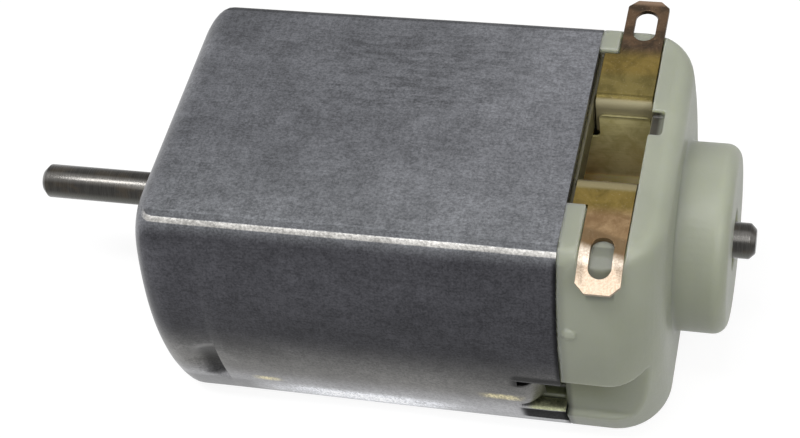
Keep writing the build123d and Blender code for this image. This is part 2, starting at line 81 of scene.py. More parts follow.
# ---------------- sizes read from the frame


def cad_box(node):
    """Lowest and highest corner of a CAD node, in millimetres."""
    low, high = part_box(node)
    return low / MM, high / MM


can_low, can_high = cad_box("motor_can")
can_rear = can_low.x
half_width = can_high.y
half_height = can_high.z
floor_height = can_low.z
bush_radius = cad_box("front_bearing")[1].z
stack_low, stack_high = cad_box("lamination_stack")
stack_middle = (stack_low.x + stack_high.x) / 2
shaft_low, shaft_high = cad_box("shaft")
shaft_radius = shaft_high.z

# sizes that a box doesn't tell, as in the CAD source
flat_half_width = 8.2
can_wall = 0.7
arris_radius = 1.0
inner_arris_radius = 0.3
front_bend = 1.5
front_corner_radius = 3.5
collar_wall = 0.6
collar_length = 1.5
stake_groove_gap = 0.5
stake_groove_width = 0.35
stake_groove_depth = 0.15
dimple_height = -3.1
dimple_stop = -3.8
dimple_chord = 4.2
dimple_depth = 0.6
dimple_run = 1.9
dimple_skin = 0.55
crimp_height = -3.1
crimp_tab_width = 2.2
crimp_slit = 0.5
crimp_slit_length = 2.4
crimp_angle = 45.0
recess_length = 3.45
tab_middle = -25.45
commutator_radius = 1.9
bush_bore = 1.03

# sizes of the scene's own, and places that follow from the others
dimple_lip = 0.06
crimp_bend_radius = 0.3
crimp_straight = 0.8
slit_rows = 10
turn_slack = 1e-3
winding_wire, winding_layers = 0.29, 4
winding_half_length, winding_half_width = 6.5, 1.25

side_centre = (half_width**2 - flat_half_width**2 - half_height**2) / (2 * (half_width - flat_half_width))
side_radius = half_width - side_centre
crimp_turn = asin(crimp_height / side_radius)
tab_turn = crimp_tab_width / 2 / side_radius
slit_turn = tab_turn + crimp_slit / side_radius
slit_end = can_rear + crimp_slit_length
slit_top = crimp_height + crimp_tab_width / 2 + crimp_slit
slit_foot = crimp_height - crimp_tab_width / 2 - crimp_slit
recess_end = can_rear - recess_length


# ---------------- pieces
def in_scene(name, data):
    """A new object in the scene for a mesh, a curve, a lamp or a camera."""
    thing = bpy.data.objects.new(name, data)
    bpy.context.scene.collection.objects.link(thing)
    return thing


def mesh_from(name, points, faces):
    """A mesh with these points and faces."""
    mesh = bpy.data.meshes.new(name)
    mesh.from_pydata([tuple(p) for p in points], [], faces)
    return mesh


def keep_clean(bm):
    """Joins points that coincide and turns every face outwards."""
    nearest = 1e-4
    bmesh.ops.remove_doubles(bm, verts=bm.verts, dist=nearest)
    bmesh.ops.dissolve_degenerate(bm, edges=bm.edges, dist=nearest)
    bmesh.ops.recalc_face_normals(bm, faces=bm.faces)


def new_piece(name, points, faces):
    """A smooth-shaded mesh object from points in millimetres."""
    mesh = mesh_from(name, points, faces)
    bm = bmesh.new()
    bm.from_mesh(mesh)
    keep_clean(bm)
    bmesh.ops.scale(bm, vec=(MM, MM, MM), verts=bm.verts)
    for face in bm.faces:
        face.smooth = True
    bm.to_mesh(mesh)
    bm.free()
    return in_scene(name, mesh)


def round_edges(piece, width, segments=2, angle=30):
    """Rounds the sharp edges of a piece and keeps its broad faces flat."""
    face_weight = 80
    bevel = piece.modifiers.new("edges", "BEVEL")
    bevel.width = width * MM
    bevel.segments = segments
    bevel.limit_method = "ANGLE"
    bevel.angle_limit = radians(angle)
    bevel.use_clamp_overlap = True
    bevel.miter_outer = "MITER_ARC"
    weighted = piece.modifiers.new("normals", "WEIGHTED_NORMAL")
    weighted.weight = face_weight
    weighted.keep_sharp = True


def stand_for(piece, node, material):
    """The piece takes a CAD node's place: its body, its finish and its spot on screen."""
    original = frame["nodes"][node]
    piece.data.materials.append(material)
    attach(piece, original["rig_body"])
    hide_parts(node)
    original.data.materials[0].name
    return piece


def cad_faces(node):
    """Points in millimetres and faces of a CAD node, welded, each flat face in one piece."""
    nearest, flatness = 1e-3, radians(1)
    bm = bmesh.new()
    bm.from_mesh(frame["nodes"][node].data)
    bmesh.ops.scale(bm, vec=(1 / MM, 1 / MM, 1 / MM), verts=bm.verts)
    bmesh.ops.remove_doubles(bm, verts=bm.verts, dist=nearest)
    bmesh.ops.dissolve_limit(bm, angle_limit=flatness, verts=bm.verts, edges=bm.edges)
    bm.verts.index_update()
    points = [v.co.copy() for v in bm.verts]
    faces = [[v.index for v in face.verts] for face in bm.faces]
    bm.free()
    return points, faces


def softened(name, node, material, edge, segments=2):
    """A CAD node's shape with its edges rounded as the real process leaves them."""
    piece = new_piece(name, *cad_faces(node))
    round_edges(piece, edge, segments)
    return stand_for(piece, node, material)


def lathe(name, profile, steps=128, closed=True):
    """A turned piece about the X axis from (x, radius) points; an open profile ends on the axis."""
    around = [(cos(tau * k / steps), sin(tau * k / steps)) for k in range(steps)]
    points = [(x, radius * y, radius * z) for x, radius in profile for y, z in around]
    faces = []
    last = len(profile) if closed else len(profile) - 1
    for j in range(last):
        a, b = j * steps, (j + 1) % len(profile) * steps
        for k in range(steps):
            n = (k + 1) % steps
            faces.append((a + k, a + n, b + n, b + k))
    return new_piece(name, points, faces)


# ---------------- the can
def can_ring(x, inset, corner, columns):
    """Points of the can's cross-section moved in by inset; columns come from can_columns."""
    flat = half_height - inset
    side = side_radius - inset
    centre_z = flat - corner
    centre_y = side_centre + sqrt((side - corner) ** 2 - centre_z**2)
    turn = atan2(centre_z, centre_y - side_centre)
    ring = []
    for kind, share, right, low in columns:
        if kind == "flat":
            y, z = centre_y * share, flat
        elif kind == "arris":
            angle = turn + (pi / 2 - turn) * share
            y, z = centre_y + corner * cos(angle), centre_z + corner * sin(angle)
        else:
            angle = turn * share
            y, z = side_centre + side * cos(angle), side * sin(angle)
        ring.append(Vector((x, -y if right else y, -z if low else z)))
    return ring


def side_angles(side_turn):
    """Angles of a side's columns, downwards; those on the edges of a feature come before others."""
    side_steps, tab_steps = 16, 5
    nearest = 0.08 / side_radius
    chord = dimple_chord / 2 / side_radius
    marks = [crimp_turn + s * w for s in (-1, 1) for w in (tab_turn, slit_turn, chord)]
    marks += [crimp_turn + tab_turn * k / tab_steps for k in range(1 - tab_steps, tab_steps)]
    marks += [side_turn * k / side_steps for k in range(1 - side_steps, side_steps)]
    angles = []
    for angle in marks:
        if all(abs(angle - a) > nearest for a in angles):
            angles.append(angle)
    return sorted(angles, reverse=True)


def can_columns():
    """How each column of the can's mesh runs: (kind, share, right, low), once round the can."""
    flat_steps, arris_steps = 26, 7
    top = half_height - arris_radius
    side_turn = atan2(top, sqrt((side_radius - arris_radius) ** 2 - top**2))
    half = [("arris", 1 - k / arris_steps, False, False) for k in range(arris_steps + 1)]
    half += [("side", angle / side_turn, False, False) for angle in side_angles(side_turn)]
    half += [("arris", k / arris_steps, False, True) for k in range(arris_steps + 1)]
    flat = [("flat", 1 - 2 * k / flat_steps, False, True) for k in range(1, flat_steps)]
    other = [(kind, share, True, low) for kind, share, _, low in reversed(half)]
    back = [("flat", 2 * k / flat_steps - 1, False, False) for k in range(1, flat_steps)]
    return half + flat + other + back


def side_stations():
    """Places along the sides, each with whether it is in the dimple; a repeated one is its step."""
    tab_steps, plain_steps, dimple_steps = slit_rows, 24, 10
    run = dimple_run + 0.4
    tab = [can_rear + crimp_slit_length * k / tab_steps for k in range(tab_steps + 1)]
    plain = [slit_end + (dimple_stop - slit_end) * k / plain_steps for k in range(1, plain_steps)]
    dimple = [dimple_stop + run * k / dimple_steps for k in range(dimple_steps + 1)]
    return [(x, False) for x in tab + plain + [dimple_stop]] + [(x, True) for x in dimple]


def soft_positive(value, softness):
    """The value where it is above zero, and zero below, with a rounded change between."""
    return (value + sqrt(value * value + softness * softness)) / 2


def dimple_sink(x, offset, extra):
    """How deep the dimple's ball, grown by extra, goes below the can's side at a point."""
    ring = (dimple_chord**2 / 4 + dimple_depth**2) / (2 * dimple_depth)
    lift = ring - dimple_depth
    back = (ring**2 - lift**2 - dimple_run**2) / (2 * dimple_run)
    ball = hypot(ring, back) + extra
    inside = ball**2 - (x - dimple_stop + back) ** 2 - offset**2
    return sqrt(max(inside, 0.0)) - lift


def crimp_path(run):
    """Where the tab's outer face goes at a distance from the slit's end: along, inward, turned."""
    radius = crimp_bend_radius + can_wall
    lean = radians(crimp_angle)
    arc = radius * lean
    path = run / crimp_slit_length * (arc + crimp_straight)
    turned = min(path / radius, lean)
    rest = max(path - arc, 0.0)
    along = radius * sin(turned) + rest * cos(lean)
    inward = radius * (1 - cos(turned)) + rest * sin(lean)
    return along, inward, turned


def crimped(x, right, point):
    """A point of the crimped tab and its mate on the inner skin, after the bend inwards."""
    along, inward, turned = crimp_path(slit_end - x)
    out = Vector((0, (-1 if right else 1) * cos(crimp_turn), sin(crimp_turn)))
    bent = Vector((slit_end, point.y, point.z)) - Vector((along, 0, 0)) - out * inward
    return bent, bent + can_wall * (Vector((sin(turned), 0, 0)) - out * cos(turned))


def sheet_waviness(point):
    """How far the drawn sheet is out of true at a point: a broad swell and a fine ripple."""
    out_of_true = 0.0
    for depth, along, across, shift in ((0.03, 0.09, 0.13, 0), (0.007, 0.35, 0.6, 40)):
        spot = Vector((point.x * along + shift, point.y * across, point.z * across))
        out_of_true += depth * noise.noise(spot)
    return out_of_true


def formed(x, sunk, column, point, mate):
    """Where a point of the outer skin and its mate on the inner one end up in the formed can."""
    true_rim = 0.5
    kind, _, right, _ = column
    arc = abs(atan2(point.z, abs(point.y) - side_centre) - crimp_turn) * side_radius
    outward = (point - mate).normalized()
    if kind == "side" and sunk:
        sink = soft_positive(dimple_sink(x, arc, 0.0), dimple_lip)
        skin = max(dimple_sink(x, arc, dimple_skin), can_wall)
        mate -= outward * (skin - can_wall)
        point -= outward * sink
    if kind == "side" and x < slit_end and arc < (tab_turn + turn_slack) * side_radius:
        return crimped(x, right, point)
    if point.x > can_rear + true_rim:
        point += outward * sheet_waviness(point)
    return point, mate


def side_rows(columns):
    """Rows of the outer and the inner skin from the rear edge to the front bend."""
    outer, inner = [], []
    for x, sunk in side_stations():
        outside = can_ring(x, 0.0, arris_radius, columns)
        inside = can_ring(x, can_wall, inner_arris_radius, columns)
        pairs = [formed(x, sunk, *spot) for spot in zip(columns, outside, inside)]
        outer.append([point for point, _ in pairs])
        inner.append([mate for _, mate in pairs])
    return outer, inner


def bend_rows(columns):
    """Rows of both skins round the front bend."""
    steps = 8
    outer, inner = [], []
    for step in range(1, steps + 1):
        angle = pi / 2 * step / steps
        turned = 1 - cos(angle)
        corner = arris_radius + (front_corner_radius - arris_radius) * turned
        outer.append(can_ring(-front_bend * (1 - sin(angle)), front_bend * turned, corner, columns))
        inwards = (front_bend - can_wall) * (step / steps)
        inner.append(can_ring(inwards - front_bend, can_wall + inwards, inner_arris_radius, columns))
    return outer, inner


def circle(points, radius, x):
    """Points on a circle about the shaft, each straight inwards from one of those given."""
    turns = [(p.y / hypot(p.y, p.z), p.z / hypot(p.y, p.z)) for p in points]
    return [Vector((x, radius * y, radius * z)) for y, z in turns]


def face_rows(edge, inner_edge):
    """Rows of both skins over the flat front, the staking groove and the bush's collar."""
    soft, blends, inner_steps = 0.03, 6, 7
    groove_in = bush_radius + stake_groove_gap
    groove_out = groove_in + stake_groove_width
    rings = [
        (groove_out + soft, 0.0),
        (groove_out, -soft),
        (groove_out - soft, -stake_groove_depth),
        (groove_in + soft, -stake_groove_depth),
        (groove_in, -soft),
        (groove_in - soft, 0.0),
        (bush_radius + soft, 0.0),
        (bush_radius, -soft),
        (bush_radius, -can_wall - collar_length),
    ]
    collar = bush_radius + collar_wall
    radii = [groove_out + (collar - groove_out) * k / inner_steps for k in range(inner_steps + 1)]
    inner_rings = [(radius, -can_wall) for radius in radii] + [(radii[-1], -can_wall - collar_length)]
    rows = []
    for start, targets in ((edge, rings), (inner_edge, inner_rings)):
        circles = [circle(start, radius, x) for radius, x in targets]
        shares = [step / blends for step in range(1, blends)]
        blend = [[a.lerp(b, share) for a, b in zip(start, circles[0])] for share in shares]
        rows.append(blend + circles)
    return rows


def slit_columns(columns):
    """For each step round the can, whether it crosses a slit beside a crimped tab."""
    ring = can_ring(can_rear, 0.0, arris_radius, columns)
    offsets = [abs(atan2(p.z, abs(p.y) - side_centre) - crimp_turn) for p in ring]
    crossing = []
    for i, column in enumerate(columns):
        n = (i + 1) % len(columns)
        near, far = sorted((offsets[i], offsets[n]))
        on_side = column[0] == columns[n][0] == "side"
        crossing.append(on_side and near > tab_turn - turn_slack and far < slit_turn + turn_slack)
    return crossing


def skin_faces(rows, slits):
    """Faces of both skins and of the edges between them, with the slits left open."""
    count = len(slits)
    skin = rows * count
    present = [[j >= slit_rows or not slit for slit in slits] for j in range(rows - 1)]
    faces = []
    for j in range(rows - 1):
        for i in range(count):
            if not present[j][i]:
                continue
            n = (i + 1) % count
            a, b = j * count + i, j * count + n
            c, d = b + count, a + count
            faces += [(a, b, c, d), (skin + d, skin + c, skin + b, skin + a)]
            if j == 0 or not present[j - 1][i]:
                faces.append((a, skin + a, skin + b, b))
            if j == rows - 2 or not present[j + 1][i]:
                faces.append((d, c, skin + c, skin + d))
            if not present[j][i - 1]:
                faces.append((a, d, skin + d, skin + a))
            if not present[j][n]:
                faces.append((b, skin + b, skin + c, c))
    return faces


def make_can(material):
    """The drawn can: its outer and inner skins on one grid, the slits open and the tabs bent in."""
    edge, segments, sharp_angle = 0.07, 2, 38
    columns = can_columns()
    outer, inner = side_rows(columns)
    bend, inner_bend = bend_rows(columns)
    face, inner_face = face_rows(bend[-1], inner_bend[-1])
    outer += bend + face
    inner += inner_bend + inner_face
    points = [p for ring in outer + inner for p in ring]
    piece = new_piece("can_shell", points, skin_faces(len(outer), slit_columns(columns)))
    round_edges(piece, edge, segments, sharp_angle)
    return stand_for(piece, "motor_can", material)


# ---------------- the end bell
def make_bell(material):
    """The moulded end bell: the CAD form with every edge softened, as nylon leaves the mould."""
    voxel, passes, factor = 0.1, 4, 0.5
    draft = in_scene("bell_draft", mesh_from("bell_draft", *cad_faces("end_bell")))
    remesh = draft.modifiers.new("remesh", "REMESH")
    remesh.mode = "VOXEL"
    remesh.voxel_size = voxel
    smooth = draft.modifiers.new("smooth", "SMOOTH")
    smooth.factor = factor
    smooth.iterations = passes
    evaluated = draft.evaluated_get(bpy.context.evaluated_depsgraph_get())
    moulded = bpy.data.meshes.new_from_object(evaluated)
    vertices = [v.co.copy() for v in moulded.vertices]
    polygons = [list(p.vertices) for p in moulded.polygons]
    bpy.data.objects.remove(draft)
    piece = new_piece("bell_moulding", vertices, polygons)
    return stand_for(piece, "end_bell", material)


# ---------------- shaft, bushes and washers
def make_shaft(material):
    """The rod: chamfered at both ends, with a relief groove behind the can's front face."""
    chamfer, soft = 0.3, 0.06
    relief_length, relief_depth = 0.6, 0.2
    r = shaft_radius
    neck = r - relief_depth
    eased = soft * 0.4
    end = [
        (0.0, 0.0),
        (0.0, r - chamfer - soft),
        (eased, r - chamfer),
        (chamfer, r - eased),
        (chamfer + soft, r),
    ]
    relief = [
        (-relief_length - soft, r),
        (-relief_length, r - soft),
        (-relief_length + soft, neck),
        (-soft, neck),
        (0.0, r - soft),
        (soft, r),
    ]
    rear = [(shaft_low.x + x, radius) for x, radius in end]
    front = [(shaft_high.x - x, radius) for x, radius in reversed(end)]
    piece = lathe("shaft_rod", rear + relief + front, closed=False)
    return stand_for(piece, "shaft", material)


def rim(low, high, chamfer):
    """The outer side of a ring's profile, from front to rear, as its box's corners say."""
    front = [(high.x, high.z - chamfer), (high.x - chamfer, high.z)]
    return front + [(low.x + chamfer, high.z), (low.x, high.z - chamfer)]


def make_bush(name, node, material):
    """A sintered bush: chamfered ends and a slightly broken bore edge."""
    low, high = cad_box(node)
    chamfer, broken, soft = 0.2, 0.08, 0.04
    front, rear = (high.x, bush_bore + broken), (low.x, bush_bore + broken)
    bore = [(low.x + broken, bush_bore), (high.x - broken, bush_bore)]
    piece = lathe(name, [front] + rim(low, high, chamfer) + [rear] + bore)
    round_edges(piece, soft)
    return stand_for(piece, node, material)


def make_ring(name, node, bore, material, soft):
    """A plain ring or sleeve with its edges broken."""
    low, high = cad_box(node)
    piece = lathe(name, [(high.x, bore)] + rim(low, high, soft) + [(low.x, bore)])
    round_edges(piece, soft / 3)
    return stand_for(piece, node, material)


# ---------------- rotor
def make_stack(material):
    """Punched plates, each with the edge that the die leaves, in one stack."""
    plates, seam, edge = 24, 0.05, 0.05
    points, faces = cad_faces("lamination_stack")
    pitch = (stack_high.x - stack_low.x) / plates
    all_points, all_faces = [], []
    for k in range(plates):
        start = len(all_points)
        for p in points:
            set_back = seam / 2 if p.x > stack_middle else pitch - seam / 2
            all_points.append((stack_high.x - k * pitch - set_back, p.y, p.z))
        all_faces += [[start + v for v in face] for face in faces]
    piece = new_piece("stack_plates", all_points, all_faces)
    round_edges(piece, edge)
    return stand_for(piece, "lamination_stack", material)


def racetrack(length, width, corner, steps=5):
    """Points round a rectangle with rounded corners, half sizes length and width."""
    loop = []
    for quarter, (sx, sy) in enumerate([(1, 1), (-1, 1), (-1, -1), (1, -1)]):
        for k in range(steps + 1):
            angle = pi / 2 * (quarter + k / steps)
            x = sx * (length - corner) + corner * cos(angle)
            loop.append((x, sy * (width - corner) + corner * sin(angle)))
    return loop


def wire_piece(name, paths, radius, resolution):
    """Round wire along paths in millimetres: the first as its points say, the others rounded."""
    curve = bpy.data.curves.new(name, "CURVE")
    curve.dimensions = "3D"
    curve.bevel_depth = radius * MM
    curve.bevel_resolution = resolution
    curve.use_fill_caps = True
    for points in paths:
        first = points is paths[0]
        spline = curve.splines.new("POLY" if first else "NURBS")
        spline.points.add(len(points) - 1)
        for spot, p in zip(spline.points, points):
            spot.co = (p.x * MM, p.y * MM, p.z * MM, 1)
        if not first:
            spline.order_u = 3
            spline.use_endpoint_u = True
    return in_scene(name, curve)


def winding_path(outward, across):
    """Points of one coil's turns, layer upon layer round its pole."""
    turns, root_corner = 6, 0.25
    lowest, highest = 2.72, 4.55
    path = []
    for layer in range(winding_layers):
        offset = winding_wire * (layer + 0.5)
        loop = racetrack(winding_half_length + offset, winding_half_width + offset, root_corner + offset)
        for turn in range(turns):
            for k, (x, y) in enumerate(loop):
                rise = (turn + k / len(loop)) / turns
                if layer % 2:
                    rise = 1 - rise
                radius = lowest + winding_wire / 2 + (highest - lowest - winding_wire) * rise
                path.append(Vector((stack_middle + x, 0, 0)) + outward * radius + across * y)
    return path


def lead_path(angle, side, outward, across):
    """Points of one lead, from the coil's rear end to a segment's riser."""
    riser_x, riser_radius, riser_turn, hook = -20.3, 2.75, 60, 0.75
    level, apart, sag, arch = 3.6, 1.4, 0.1, 0.3
    target = radians(angle + side * riser_turn)
    rear = -winding_half_length - winding_wire * (winding_layers - 0.5)
    start = Vector((stack_middle + rear, 0, 0)) + outward * level + across * side * apart
    end = Vector((riser_x, riser_radius * cos(target), riser_radius * sin(target)))
    knee = start.lerp(end, 0.5) + Vector((-sag, 0, 0)) + outward * arch
    return [start, knee, end, end + Vector((-hook, 0, 0))]


def make_coil(letter, angle, material):
    """Turns of enamelled wire in layers round one pole, with its two leads to the commutator."""
    outward = Vector((0, cos(radians(angle)), sin(radians(angle))))
    across = Vector((0, -sin(radians(angle)), cos(radians(angle))))
    paths = [winding_path(outward, across)]
    paths += [lead_path(angle, side, outward, across) for side in (1, -1)]
    piece = wire_piece("winding_" + letter, paths, winding_wire / 2, 1)
    return stand_for(piece, "coil_" + letter, material)


def make_spring(material):
    """The bent wire that spreads the magnets."""
    low, high = cad_box("magnet_spring")
    wire = (high.z - low.z) / 2
    level = (high.z + low.z) / 2
    reach = high.y - wire
    bend, steps, resolution = 1.4, 8, 4
    front, rear = high.x - wire, low.x
    path = [Vector((rear, reach, level))]
    for side in (1, -1):
        for k in range(steps + 1):
            angle = pi / 2 * (k / steps if side > 0 else 1 - k / steps)
            x = front - bend + bend * sin(angle)
            y = side * (reach - bend + bend * cos(angle))
            path.append(Vector((x, y, level)))
    path.append(Vector((rear, -reach, level)))
    piece = wire_piece("spring_wire", [path], wire, resolution)
    return stand_for(piece, "magnet_spring", material)


# ---------------- materials
def srgb(red, green, blue):
    """A colour as read off a screen, 0 to 255, as the linear values that a shader takes."""
    levels = []
    for level in (red, green, blue):
        v = level / 255
        levels.append(v / 12.92 if v <= 0.04045 else ((v + 0.055) / 1.055) ** 2.4)
    return (*levels, 1.0)


class Graph:
    """A node tree and short ways to add nodes to it."""

    def __init__(self, tree):
        self.tree = tree

    def put(self, socket, value):
        if isinstance(value, bpy.types.NodeSocket):
            self.tree.links.new(value, socket)
        else:
            socket.default_value = value

    def add(self, kind, inputs=(), **settings):
        node = self.tree.nodes.new("ShaderNode" + kind)
        for key, value in settings.items():
            setattr(node, key, value)
        for key, value in dict(inputs).items():
            self.put(node.inputs[key], value)
        return node

    def math(self, operation, first, second=0.0):
        return self.add("Math", {0: first, 1: second}, operation=operation).outputs[0]

    def between(self, value, low, high):
        """An even change from low to high as the value goes from 0 to 1."""
        return self.add("MapRange", {"Value": value, "To Min": low, "To Max": high}).outputs["Result"]

    def seen_directly(self):
        """1 for a ray from the camera, off a gloss or through glass, and 0 for any other."""
        rays = self.add("LightPath").outputs
        direct = self.math("MAXIMUM", rays["Is Camera Ray"], rays["Is Glossy Ray"])
        return self.math("MAXIMUM", direct, rays["Is Transmission Ray"])


class Finish(Graph):
    """One material, with patterns, masks and colours for it."""

    def __init__(self, name):
        self.material = bpy.data.materials.new(name)
        self.material.use_nodes = True
        super().__init__(self.material.node_tree)
        self.shader = self.tree.nodes["Principled BSDF"]

    # object coordinates, then each in millimetres; aside is the distance from the upright plane
    object = cached_property(lambda self: self.add("TexCoord").outputs["Object"])
    x = cached_property(lambda self: self.axis("X"))
    y = cached_property(lambda self: self.axis("Y"))
    z = cached_property(lambda self: self.axis("Z"))
    aside = cached_property(lambda self: self.math("ABSOLUTE", self.y))

    def axis(self, letter):
        split = self.add("SeparateXYZ", {"Vector": self.object}).outputs[letter]
        return self.math("MULTIPLY", split, 1 / MM)

    def pattern(self, kind, scale, inputs=(), **settings):
        """A texture node with so many waves or points to the millimetre along X, Y and Z."""
        stretch = scale if isinstance(scale, tuple) else (scale, scale, scale)
        place = self.add("Mapping", {"Vector": self.object, "Scale": [s / MM for s in stretch]})
        return self.add(kind, {"Vector": place.outputs["Vector"], "Scale": 1.0, **dict(inputs)}, **settings)

    def noise(self, scale, detail, roughness=0.55, distortion=0.0):
        inputs = {"Detail": detail, "Roughness": roughness, "Distortion": distortion}
        return self.pattern("TexNoise", scale, inputs).outputs["Fac"]

    def cells(self, scale):
        """Distance to the nearest of scattered points."""
        return self.pattern("TexVoronoi", scale, feature="F1").outputs["Distance"]

    def both(self, first, *others):
        """The product of masks, which is 1 where all of them are 1."""
        for other in others:
            first = self.math("MULTIPLY", first, other)
        return first

    def length(self, first, second):
        """The root of the sum of two squares."""
        squares = [self.math("POWER", value, 2) for value in (first, second)]
        return self.math("SQRT", self.math("ADD", *squares))

    def range(self, value, low, high, start=0.0, end=1.0):
        """A smooth change from start to end as the value goes from low to high."""
        inputs = {"Value": value, "From Min": low, "From Max": high, "To Min": start, "To Max": end}
        return self.add("MapRange", inputs, interpolation_type="SMOOTHSTEP").outputs["Result"]

    def band(self, value, low, high, soft):
        """1 where the value is between low and high, and 0 elsewhere, with soft edges."""
        return self.both(self.range(value, low - soft, low), self.range(value, high + soft, high))

    def where(self, **places):
        """A mask over x, y, z or aside: three numbers make a band, and other counts a range."""
        masks = []
        for name, place in places.items():
            change = self.band if len(place) == 3 else self.range
            masks.append(change(getattr(self, name), *place))
        return self.both(*masks)

    def spread(self, value, start=0.0, end=1.0):
        """A change from start to end over the values that a noise mostly has."""
        return self.range(value, 0.3, 0.7, start, end)

    def mix(self, factor, first, second, blend="MIX"):
        """The blend of two colours, each from other nodes or given as screen levels."""
        node = self.add("Mix", data_type="RGBA", blend_type=blend)
        for index, value in ((0, factor), (6, first), (7, second)):
            self.put(node.inputs[index], srgb(*value) if isinstance(value, tuple) else value)
        return node.outputs[2]

    def shade(self, colour, factor):
        """The colour made darker or lighter by a factor that varies."""
        return self.mix(1.0, colour, factor, "MULTIPLY")

    def paint(self, colour, *layers):
        """The colour under layers: a mask each, with a factor to shade by or a colour to mix in."""
        for mask, tone in layers:
            if isinstance(tone, float):
                colour = self.shade(colour, self.range(mask, 0, 1, 1.0, tone))
            else:
                colour = self.mix(mask, colour, tone)
        return colour

    def bump(self, height, depth, normal=None):
        """Relief of a depth in millimetres, on top of another relief if one is given."""
        inputs = {"Height": height, "Distance": depth * MM, "Strength": 1.0}
        if normal is not None:
            inputs["Normal"] = normal
        return self.add("Bump", inputs).outputs["Normal"]

    def set(self, **values):
        """Puts values or links on the shader; an underscore stands for a space in a socket's name."""
        for key, value in values.items():
            self.put(self.shader.inputs[key.replace("_", " ")], value)
        return self.material


def can_tones_and_painted_light(f, grain):
    """The flats' grey, darker towards the front as painted light and lighter towards +Y, with painted light
    on the front bend; the sides painted darker, with a painted floor reflection and glare low down.
    """
    flat = f.paint(
        f.mix(f.where(x=(-24, -1)), (116, 117, 121), (97, 98, 102)),
        (f.where(y=(1, 8, 0.0, 0.5)), (126, 128, 131)),
        (f.where(x=(-1.7, -0.6)), (112, 113, 117)),
    )
    # painted glare where the low side reflects the floor, broken up by grain
    sparkle = f.range(f.range(grain, 0.36, 0.6), 0, 1, 0.55, 1)
    painted_glare = f.both(f.where(z=(-4.9, -6.0), x=(-4.5, -9.5)), f.where(x=(-19, -13, 0.05, 1.0)), sparkle)
    side = f.paint(
        f.mix(f.where(z=(-1, 5.5)), (53, 53, 56), (69, 69, 73)),
        (f.where(z=(0.8, -3.2)), (100, 99, 97)),
        (f.where(z=(-3.2, -5.2)), (140, 140, 142)),
        (painted_glare, (238, 240, 246)),
    )
    return f.mix(f.where(aside=(flat_half_width + 0.05, flat_half_width + 0.5)), flat, side)


def paint_arris_highlight(f, colour, crown):
    """Painted highlight on the arris below its crown, and painted shade on the crown itself."""
    ridge = f.both(crown, f.where(z=(half_height - 0.05, half_height)))
    # painted highlight on the arris, with a silver tint in it
    painted_highlight = f.where(x=(-0.7, -1.3), z=(7.25, 7.4, 0.05))
    silver = (196, 192, 184)
    return f.paint(colour, (crown, 0.56), (ridge, 1.6), (painted_highlight, 1.7), (f.both(painted_highlight, 0.6), silver))


def paint_dimple_shade(f, colour):
    """Painted shade in the dimple's steep end, and a painted highlight on its rim above."""
    centre_x, centre_z = -2.85, dimple_height - 0.2
    reach = f.length(f.math("SUBTRACT", f.x, centre_x), f.math("SUBTRACT", f.z, centre_z))
    step = f.where(x=(dimple_stop - dimple_lip, dimple_stop + dimple_lip))
    hollow = f.both(f.range(reach, 1.85, 1.25), f.where(x=(-1.9, -3.1)), step)
    rim = f.both(f.band(reach, 1.75, 2.0, 0.3), f.where(z=(-2.9, -2.2)))
    return f.paint(colour, (hollow, 0.2), (rim, 1.2))


def paint_crimp_shade(f, colour, under):
    """Painted shade on the rear edge and along the upper slit, olive painted on the lower slit's cut face
    as the nylon it reflects, and deep painted shade under that slit.
    """
    rear_edge = f.where(x=(can_rear + 0.35, can_rear), aside=(8.3, 8.6))
    # painted shadow along the upper slit
    slit_shadow = f.where(x=(slit_end + 0.6, slit_end), z=(slit_top - 0.4, slit_top + 0.3, 0.4))
    cut = f.where(x=(slit_end - 0.1, slit_end - 0.7), z=(slit_foot + 0.01, slit_foot + 0.25, 0.03))
    dark = f.math("MAXIMUM", rear_edge, slit_shadow)
    return f.paint(colour, (dark, 0.22), (cut, (124, 126, 102)), (under, 0.12))


def even_front(f, colour):
    """The front bend is painted paler, as lit, and its foot darker, and the front face is one even tone."""
    bend = f.where(x=(-2.4, -1.1), z=(-2.5, 4.5, 2.0))
    foot = f.where(x=(-6.0, -3.8), z=(-4.9, -5.5))
    face = f.where(x=(-0.75, -0.15))
    return f.paint(colour, (bend, 1.35), (foot, 0.6), (face, (110, 111, 114)))


def paint_glints(f, colour, grain):
    """Painted warm glints low on the left side, next to the dimple and the crimped tab."""
    by_tab = f.where(x=(slit_end + 0.8, slit_end + 1.2, 1.3), z=(-3.55, -3.45, 0.4))
    by_dimple = f.where(x=(-6.3, -6.0, 0.9), z=(-4.65, -4.55, 0.35))
    grainy = f.spread(grain, 0.3, 1.0)
    # painted glints, on the +Y side only
    painted_glint = f.both(f.math("ADD", by_tab, by_dimple), grainy, f.where(y=(0, 1, 0.0, 0.75)))
    return f.mix(painted_glint, colour, (252, 238, 180))


def smudge_flat(f, colour, ironed):
    """A patch of criss-cross smudges from rubbing, in the middle of the flat."""
    patch = f.where(x=(-17.0, -9.5, 3.0), y=(-5.5, -1.5, 2.0))
    streaks = f.range(f.noise((0.5, 2.6, 2.6), 3, 0.6), 0.42, 0.62)
    return f.paint(colour, (f.both(patch, streaks, f.range(ironed, 0.4, 0.6, 0.5, 1.0)), 0.7))


